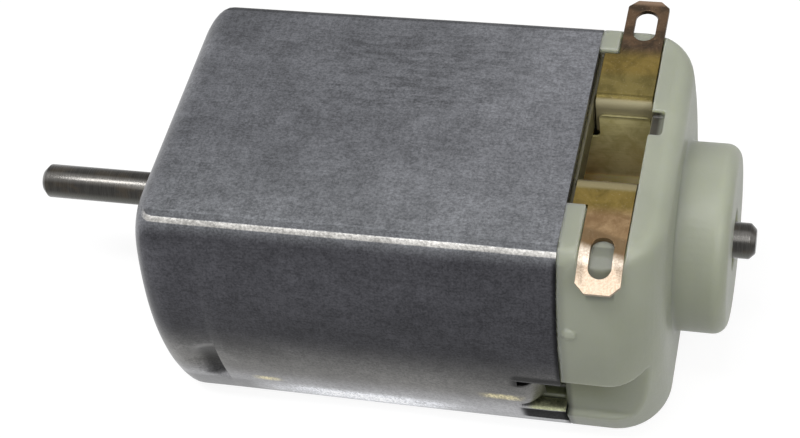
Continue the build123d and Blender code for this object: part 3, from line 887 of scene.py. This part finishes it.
def can_steel():
    """Zinc-plated sheet, finely mottled, with drawing marks, a painted floor reflection low on each side,
    and painted highlights and shade.
    """
    f = Finish("can_steel_finish")
    clouds = f.noise((0.2, 0.28, 0.28), 4, 0.6, 0.6)
    mottle = f.noise((1.5, 2.2, 2.2), 5, 0.7, 0.3)
    grain = f.noise((7, 8.5, 8.5), 4, 0.75)
    drawn = f.noise((0.3, 12, 12), 4, 0.7)
    ironed = f.noise((10, 0.5, 0.5), 3, 0.6)
    uneven = f.math("ADD", f.both(mottle, 0.3), f.both(grain, 0.7))
    lines = f.both(f.spread(drawn), f.range(ironed, 0.25, 0.75))
    crown = f.where(aside=(7.6, 7.8), z=(7.4, 7.46))
    # painted shade below the lower slit
    under = f.where(x=(slit_end + 0.6, slit_end - 0.4), z=(slit_foot - 1.5, slit_foot - 0.2, 0.25))
    colour = paint_arris_highlight(f, can_tones_and_painted_light(f, grain), crown)
    colour = paint_crimp_shade(f, paint_dimple_shade(f, colour), under)
    colour = paint_glints(f, even_front(f, colour), grain)
    colour = f.shade(colour, f.range(uneven, 0.34, 0.66, 0.64, 1.4))
    colour = f.shade(colour, f.spread(clouds, 0.86, 1.16))
    colour = f.shade(colour, f.range(lines, 0, 0.7, 0.94, 1.1))
    colour = smudge_flat(f, colour, ironed)
    rough = f.spread(uneven, 0.28, 0.4)
    for mask, roughest in ((under, 1.0), (crown, 0.62)):
        rough = f.math("MAXIMUM", rough, f.range(mask, 0, 1, 0.0, roughest))
    relief = f.bump(drawn, 0.002, f.bump(grain, 0.005, f.bump(mottle, 0.01)))
    return f.set(Base_Color=colour, Metallic=1.0, Roughness=rough, Normal=relief)


def paint_rebate_shade(f, colour):
    """Painted shade: olive below the side pads, dark behind a crimped tab and greyer beside the can."""
    depth = f.math("SUBTRACT", side_radius, f.length(f.math("SUBTRACT", f.aside, side_centre), f.z))
    skirt = f.where(z=(-0.9, -1.6), x=(can_rear - 4.8, can_rear - 1.4, 0.0, 0.95))
    behind = f.where(x=(can_rear - 0.5, can_rear - 0.1), z=(-1.1, -1.6))
    beside = f.where(x=(can_rear - 0.7, can_rear - 0.1), z=(-1.3, 6.8, 0.2))
    olive = (f.both(f.range(depth, 0.35, 1.1), skirt), (112, 118, 78))
    return f.paint(colour, olive, (behind, 0.45), (beside, 0.8))


def paint_recess_shade(f, colour):
    """Painted shade: the recess is olive, as a thin floor over the dark chamber, and its ledge and its
    notch are darker still.
    """
    hollow = f.where(x=(recess_end - 0.3, recess_end + 0.05), z=(half_height - 0.1, half_height - 0.4))
    inside = f.both(hollow, f.where(z=(5.2, 5.6), y=(4.98, 4.8)), f.where(y=(-6.6, -6.4)))
    ledge = f.both(inside, f.where(x=(can_rear - 0.8, can_rear - 0.4)))
    walls = f.where(x=(recess_end - 0.95, recess_end - 0.1, 0.1), y=(-2.15, -0.3, 0.1), z=(6.4, 7.35, 0.15))
    notch = f.both(walls, f.where(x=(recess_end - 0.65, recess_end - 0.35, 0.35, 1.0)))
    return f.paint(colour, (inside, (104, 98, 62)), (ledge, 0.5), (notch, (42, 36, 12)))


def nylon():
    """Milky translucent nylon, satin, with olive shade painted where it is thin or shaded by the can, and a
    painted shadow under the bent tab.
    """
    f = Finish("nylon_finish")
    cloud = f.noise(0.18, 3, 0.5)
    skin = f.noise(2.2, 3, 0.5)
    fine = f.noise(9, 4, 0.6)
    # painted shadow on the nylon under the bent tab
    tab_shadow_on_nylon = f.where(x=(tab_middle - 0.65, tab_middle + 0.65, 0.15), y=(7.4, 9.9, 0.2), z=(4.9, 5.6))
    colour = f.mix(f.spread(cloud), (158, 162, 144), (167, 171, 154))
    colour = paint_recess_shade(f, paint_rebate_shade(f, colour))
    f.shader.subsurface_method = "RANDOM_WALK"
    return f.set(
        Base_Color=f.paint(colour, (tab_shadow_on_nylon, 0.55)),
        Subsurface_Weight=1.0,
        Subsurface_Radius=(1.0, 1.0, 0.72),
        Subsurface_Scale=1.8 * MM,
        Roughness=f.spread(fine, 0.38, 0.5),
        IOR=1.53,
        Normal=f.bump(fine, 0.004, f.bump(skin, 0.012)),
    )


def strip_under_bell(f, stained, leg):
    """Olive strip, amber towards the tabs, with a painted highlight on the near bend into the bell, painted
    shade on the far bend, and its leg painted paler, as lit, in the window's shade.
    """
    amber = f.mix(stained, (104, 89, 46), (126, 108, 58))
    return f.paint(
        f.mix(stained, (98, 88, 50), (120, 108, 64)),
        (f.where(y=(-4.4, -5.2)), amber),
        (f.where(y=(3.3, 4.0)), amber),
        (f.where(y=(2.95, 3.5, 0.25)), (140, 130, 98)),
        (f.where(y=(-3.2, -3.0, 0.15)), 0.5),
        (leg, (158, 150, 118)),
    )


def paint_tab_light(f, colour, stain, speckle_mix):
    """The bent tab gets a painted shadow at its root and a painted highlight beyond, toned down where the
    lamp's own highlight falls; the far tab is lighter at its end.
    """
    painted_highlight = f.mix(speckle_mix, (212, 194, 174), (246, 236, 222))
    bright = f.mix(speckle_mix, (146, 129, 112), (184, 168, 150))
    # the painted light runs askew: further up on the side next to the can
    slant = 0.3
    skewed = f.math("ADD", f.y, f.both(f.math("SUBTRACT", f.x, tab_middle), slant))
    # painted shadow at the tab's root
    painted_tab_shadow = f.both(f.band(skewed, 6.8, 7.6, 0.4), f.range(stain, 0.35, 0.6, 0.4, 1.0))
    return f.paint(
        colour,
        (painted_tab_shadow, 0.62),
        (f.range(skewed, 7.5, 8.2), painted_highlight),
        (f.where(y=(8.2, 8.7)), bright),
        (f.where(y=(-10.2, -10.5, 0.0, 0.8)), (150, 126, 106)),
    )


def copper_strip():
    """Phosphor-bronze strip: olive under the bell, brown on the solder tabs, with painted light on the bent
    tab.
    """
    f = Finish("copper_strip_finish")
    rolled = f.noise((9, 0.5, 0.5), 4, 0.6)
    speck = f.noise(10, 4, 0.75)
    stain = f.noise(0.9, 5, 0.65, 0.5)
    stained = f.range(stain, 0.35, 0.65)
    leg = f.where(aside=(3.05, 2.85))
    brown = f.mix(stained, (66, 55, 44), (98, 78, 60))
    pink = f.mix(stained, (126, 101, 72), (155, 130, 98))
    colour = strip_under_bell(f, stained, leg)
    colour = f.paint(colour, (f.where(y=(-5.9, -7.0)), brown), (f.where(y=(4.6, 5.6)), pink))
    colour = paint_tab_light(f, colour, stain, f.range(speck, 0.4, 0.62))
    return f.set(
        Base_Color=f.mix(f.range(speck, 0.55, 0.75, 0.0, 0.3), colour, (196, 178, 150)),
        Metallic=f.range(leg, 0, 1, 1.0, 0.2),
        Roughness=f.spread(speck, 0.34, 0.5),
        Normal=f.bump(speck, 0.01, f.bump(rolled, 0.004)),
    )


def leaf_brass():
    """Thin springy brass of the brush arms, dulled by oil and brush dust."""
    f = Finish("leaf_brass_finish")
    dust = f.noise(1.1, 5, 0.65, 0.4)
    rolled = f.noise((0.6, 9, 9), 4, 0.6)
    colour = f.mix(f.range(dust, 0.35, 0.65), (206, 196, 132), (228, 218, 160))
    colour = f.shade(colour, f.spread(rolled, 0.95, 1.05))
    # painted shade on the top edge, where the lamp would catch it, and painted light on the lower part seen
    # through the window
    colour = f.paint(colour, (f.where(z=(6.1, 6.4)), 0.4), (f.where(z=(2.0, 1.3)), 1.9))
    rough = f.spread(dust, 0.42, 0.6)
    return f.set(Base_Color=colour, Metallic=0.25, Roughness=rough, Normal=f.bump(rolled, 0.004))


def shaft_steel():
    """Ground rod: fine rings round it and rust-brown staining."""
    f = Finish("shaft_steel_finish")
    rings = f.noise((24, 0.6, 0.6), 4, 0.7)
    stain = f.noise((0.8, 1.2, 1.2), 4, 0.6, 0.4)
    # painted highlight: a pale streak along the side where the lamp's highlight falls, and a painted floor
    # reflection, a little greyer, low on the near side
    streaks = f.spread(f.noise((1.2, 9, 9), 4, 0.7), 0.65, 1.0)
    colour = f.paint(
        f.mix(f.range(stain, 0.4, 0.62), (54, 53, 51), (66, 61, 54)),
        (f.range(rings, 0.35, 0.7, 0.0, 0.3), (94, 93, 90)),
        (f.both(f.where(y=(0.3, 0.5, 0.26), z=(0.4, 0.7)), streaks), (112, 110, 107)),
        (f.where(y=(0.8, 1.0), z=(0.3, -0.1)), (88, 88, 84)),
    )
    rough = f.spread(rings, 0.2, 0.3)
    return f.set(Base_Color=colour, Metallic=1.0, Roughness=rough, Normal=f.bump(rings, 0.004))


def sintered_bronze():
    """Pressed bronze powder, oily, with open pores."""
    f = Finish("sintered_bronze_finish")
    pores = f.range(f.cells(9), 0.05, 0.35)
    tone = f.noise(1.4, 4, 0.6)
    colour = f.mix(f.range(tone, 0.35, 0.65), (120, 96, 62), (156, 128, 86))
    colour = f.mix(pores, (60, 48, 34), colour)
    rough = f.spread(tone, 0.34, 0.52)
    return f.set(Base_Color=colour, Metallic=1.0, Roughness=rough, Normal=f.bump(pores, 0.02))


def ferrite():
    """Pressed and ground ceramic magnet: near black, gritty, with small chips."""
    f = Finish("ferrite_finish")
    grit = f.noise(10, 5, 0.7)
    chips = f.range(f.cells(2.2), 0.08, 0.2)
    tone = f.noise(0.7, 4, 0.6)
    colour = f.mix(f.spread(tone), (44, 43, 44), (62, 60, 60))
    relief = f.bump(chips, 0.02, f.bump(grit, 0.012))
    rough = f.spread(grit, 0.55, 0.78)
    return f.set(Base_Color=f.mix(chips, (82, 80, 80), colour), Roughness=rough, Normal=relief)


def spring_steel():
    """Drawn wire with fine lines along it."""
    f = Finish("spring_steel_finish")
    lines = f.noise((0.8, 9, 9), 4, 0.7)
    tone = f.noise(0.9, 3, 0.6)
    colour = f.mix(f.range(tone, 0.35, 0.65), (136, 134, 132), (176, 174, 170))
    rough = f.spread(lines, 0.24, 0.42)
    return f.set(Base_Color=colour, Metallic=1.0, Roughness=rough, Normal=f.bump(lines, 0.006))


def silicon_steel():
    """Punched sheet edges: bright sheared bands, bluish scale and specks of varnish."""
    f = Finish("silicon_steel_finish")
    bands = f.noise((5, 1.5, 1.5), 4, 0.7)
    scale = f.noise(0.8, 4, 0.6, 0.4)
    colour = f.mix(f.range(bands, 0.35, 0.65), (108, 108, 114), (156, 157, 164))
    colour = f.mix(f.range(scale, 0.52, 0.7, 0.0, 0.7), colour, (84, 74, 70))
    rough = f.spread(scale, 0.32, 0.5)
    return f.set(Base_Color=colour, Metallic=1.0, Roughness=rough, Normal=f.bump(bands, 0.01))


def insulator_plastic():
    """Coloured moulded insulator, satin, with faint flow lines."""
    f = Finish("insulator_plastic_finish")
    flow = f.noise((1.2, 0.6, 0.6), 4, 0.6, 1.2)
    skin = f.noise(8, 3, 0.6)
    colour = f.mix(f.spread(flow), (40, 92, 132), (54, 110, 150))
    rough = f.spread(skin, 0.4, 0.55)
    return f.set(Base_Color=colour, Roughness=rough, Specular_IOR_Level=0.5, Normal=f.bump(skin, 0.008))


def enamelled_wire():
    """Copper wire under clear amber enamel."""
    f = Finish("enamelled_wire_finish")
    tone = f.noise((0.9, 2, 2), 4, 0.6)
    colour = f.mix(f.spread(tone), (168, 84, 44), (206, 122, 70))
    return f.set(
        Base_Color=colour,
        Metallic=1.0,
        Roughness=f.spread(tone, 0.22, 0.34),
        Coat_Weight=0.8,
        Coat_Roughness=0.12,
        Normal=f.bump(f.noise(7, 3, 0.6), 0.006),
    )


def commutator_copper():
    """Turned copper, darkened and scored where the brushes run."""
    f = Finish("commutator_copper_finish")
    rings = f.noise((22, 0.5, 0.5), 4, 0.7)
    track = f.both(f.where(x=(-25.9, -25.5)), f.where(x=(-23.6, -24.0)))
    colour = f.mix(f.spread(rings), (168, 104, 72), (204, 140, 102))
    colour = f.mix(f.both(track, 0.75), colour, (92, 64, 50))
    rough = f.spread(rings, 0.22, 0.38)
    return f.set(Base_Color=colour, Metallic=1.0, Roughness=rough, Normal=f.bump(rings, 0.01))


def phenolic():
    """Dark moulding compound with pale filler flecks."""
    f = Finish("phenolic_finish")
    fleck = f.range(f.cells(4), 0.04, 0.16)
    tone = f.noise(1.6, 4, 0.6)
    colour = f.mix(f.spread(tone), (54, 34, 26), (74, 46, 34))
    colour = f.mix(fleck, (126, 96, 72), colour)
    return f.set(Base_Color=colour, Roughness=f.spread(tone, 0.36, 0.5), Normal=f.bump(tone, 0.01))


def fibre():
    """Vulcanised fibre: dense, reddish brown, with a faint weave."""
    f = Finish("fibre_finish")
    weave = f.both(f.noise((1, 12, 2), 3, 0.6), f.noise((1, 2, 12), 3, 0.6))
    colour = f.mix(f.range(weave, 0.15, 0.4), (104, 52, 38), (140, 76, 54))
    rough = f.range(weave, 0.15, 0.4, 0.5, 0.66)
    return f.set(Base_Color=colour, Roughness=rough, Normal=f.bump(weave, 0.02))


def carbon():
    """Pressed graphite with a dull sheen and polished grains."""
    f = Finish("carbon_finish")
    grains = f.noise(9, 5, 0.7)
    colour = f.mix(f.range(grains, 0.4, 0.7), (34, 34, 36), (72, 72, 76))
    rough = f.spread(grains, 0.62, 0.4)
    return f.set(Base_Color=colour, Metallic=0.5, Roughness=rough, Normal=f.bump(grains, 0.012))


# ---------------- stage, lights and camera
def make_world():
    """White wherever it is seen, and a softer fill where it lights the motor."""
    fill = 0.3
    world = bpy.data.worlds.new("studio")
    bpy.context.scene.world = world
    world.use_nodes = True
    graph = Graph(world.node_tree)
    background = graph.tree.nodes["Background"].inputs
    graph.put(background["Color"], (1, 1, 1, 1))
    graph.put(background["Strength"], graph.between(graph.seen_directly(), fill, 1.0))


def floor_paper():
    """White paper that glows to the eye, so that it fades into the background."""
    whiteness, glow_strength, bounce, paleness, dullness = 0.77, 1.13, 0.35, 0.9, 0.9
    f = Finish("floor_paper")
    seen = f.seen_directly()
    glow = f.add("Emission", {"Color": (1, 1, 1, 1), "Strength": glow_strength})
    share = f.math("MULTIPLY", seen, whiteness)
    both = f.add("MixShader", {0: share, 1: f.shader.outputs[0], 2: glow.outputs[0]})
    f.put(f.tree.nodes["Material Output"].inputs["Surface"], both.outputs[0])
    return f.set(Base_Color=f.between(seen, bounce, paleness), Roughness=dullness)


def make_floor():
    """A broad white floor that fades to plain white but keeps the motor's shadow."""
    reach, gap = 900, 0.05
    level = floor_height - gap
    corners = [(-reach, -reach), (reach, -reach), (reach, reach), (-reach, reach)]
    floor = mesh_from("floor", [(x * MM, y * MM, level * MM) for x, y in corners], [(0, 1, 2, 3)])
    floor.materials.append(floor_paper())
    in_scene("floor", floor)


def add_lamp(name, azimuth, elevation, along, across, radiance, distance=260):
    """A soft lamp aimed at the motor; azimuth runs from +X to +Y, and radiance 1 is white.

    Its side called along lies as near to the X axis as the aim allows.
    """
    data = bpy.data.lights.new(name, "AREA")
    data.shape = "RECTANGLE"
    data.size, data.size_y = along * MM, across * MM
    data.energy = radiance * pi * data.size * data.size_y
    lamp = in_scene(name, data)
    a, e = radians(azimuth), radians(elevation)
    direction = Vector((cos(e) * cos(a), cos(e) * sin(a), sin(e)))
    sideways = direction.cross(Vector((1, 0, 0))).normalized()
    aim = Vector(((cad_low.x + cad_high.x) / 2, 0, 0))
    lamp.location = aim + direction * distance * MM
    turn = Matrix((sideways.cross(direction), sideways, direction)).transposed()
    lamp.rotation_euler = turn.to_euler()
    lamp.visible_camera = False


def make_lights():
    """A long lamp overhead and two weaker fills."""
    add_lamp("overhead", azimuth=41, elevation=72, along=220, across=48, radiance=10.5)
    add_lamp("front_fill", azimuth=105, elevation=50, along=150, across=110, radiance=1.4)
    add_lamp("rear_fill", azimuth=150, elevation=40, along=110, across=150, radiance=3.5)


def make_camera():
    """The photograph's view: a long lens, above and behind the left side, slightly rolled."""
    place = Vector((-37.178, 66.970, 79.238))
    aim = Vector((-12.494, 0.615, 0.0))
    roll, focal_pixels, frame_pixels = -10.4736, 1862.14, 800
    data = bpy.data.cameras.new("camera")
    data.sensor_width = 36.0
    data.lens = data.sensor_width * focal_pixels / frame_pixels
    data.clip_start, data.clip_end = 0.005, 10
    camera = in_scene("camera", data)
    camera.location = place * MM
    level = (aim - place).to_track_quat("-Z", "Y")
    camera.rotation_mode = "QUATERNION"
    camera.rotation_quaternion = level @ Quaternion((0, 0, 1), radians(roll))
    bpy.context.scene.camera = camera


# ---------------- putting it together
def build():
    """Every piece with its finish; the last numbers are how far edges are rounded, and how finely."""
    steel, bell, copper = can_steel(), nylon(), copper_strip()
    make_can(steel)
    make_bell(bell)
    shaft_finish, bronze, washer = shaft_steel(), sintered_bronze(), fibre()
    make_shaft(shaft_finish)
    make_bush("front_bush", "front_bearing", bronze)
    make_bush("rear_bush", "rear_bearing", bronze)
    make_ring("front_thrust_washer", "front_washer", shaft_radius, washer, 0.06)
    make_ring("rear_thrust_washer", "rear_washer", shaft_radius, washer, 0.06)
    make_ring("commutator_hoop", "commutator_ring", commutator_radius, washer, 0.05)
    make_ring("commutator_sleeve", "commutator_core", shaft_radius, phenolic(), 0.05)
    magnet, graphite, brass = ferrite(), carbon(), leaf_brass()
    for side in ("left", "right"):
        softened("ferrite_" + side, "magnet_" + side, magnet, 0.18, 3)
        softened("tab_strip_" + side, "terminal_" + side, copper, 0.07, 3)
        softened("leaf_" + side, "brush_arm_" + side, brass, 0.03)
        softened("graphite_" + side, "carbon_brush_" + side, graphite, 0.06)
    make_spring(spring_steel())
    make_stack(silicon_steel())
    plastic, wire, segment = insulator_plastic(), enamelled_wire(), commutator_copper()
    softened("front_insulator", "insulator_front", plastic, 0.1)
    softened("rear_insulator", "insulator_rear", plastic, 0.1)
    for letter, angle in zip("abc", (90, 210, 330)):
        make_coil(letter, angle, wire)
        softened("segment_" + letter, "commutator_segment_" + letter, segment, 0.05)


build()
make_world()
make_floor()
make_lights()
make_camera()
bpy.context.scene.view_settings.view_transform = "Standard"
